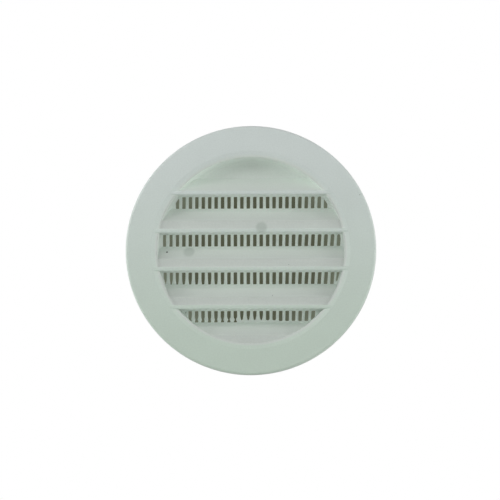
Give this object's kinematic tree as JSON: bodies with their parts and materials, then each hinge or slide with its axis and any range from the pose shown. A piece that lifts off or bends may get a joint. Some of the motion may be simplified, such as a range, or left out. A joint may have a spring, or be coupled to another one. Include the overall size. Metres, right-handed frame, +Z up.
{
  "type": "round vent grille",
  "caption": "Round wall vent cover in one moulding: flange, spigot for a duct, sloped weather louvres with rounded drip lips and an insect screen of upright slots.",
  "frame": {"origin": "on the spigot's axis, in the plane of the wall that the flange's rim rests on", "axes": "+Z is up as the grille is fitted, the louvred front faces -Y, the spigot points along +Y into the duct, +X is to the right seen from the front"},
  "size_m": [0.15, 0.0295, 0.15],
  "materials": {
    "moulded_plastic": "fine matt moulded finish, pale grey white"
  },
  "bodies": {
    "root": {"vent_grille": "moulded_plastic"}
  },
  "joints": []
}
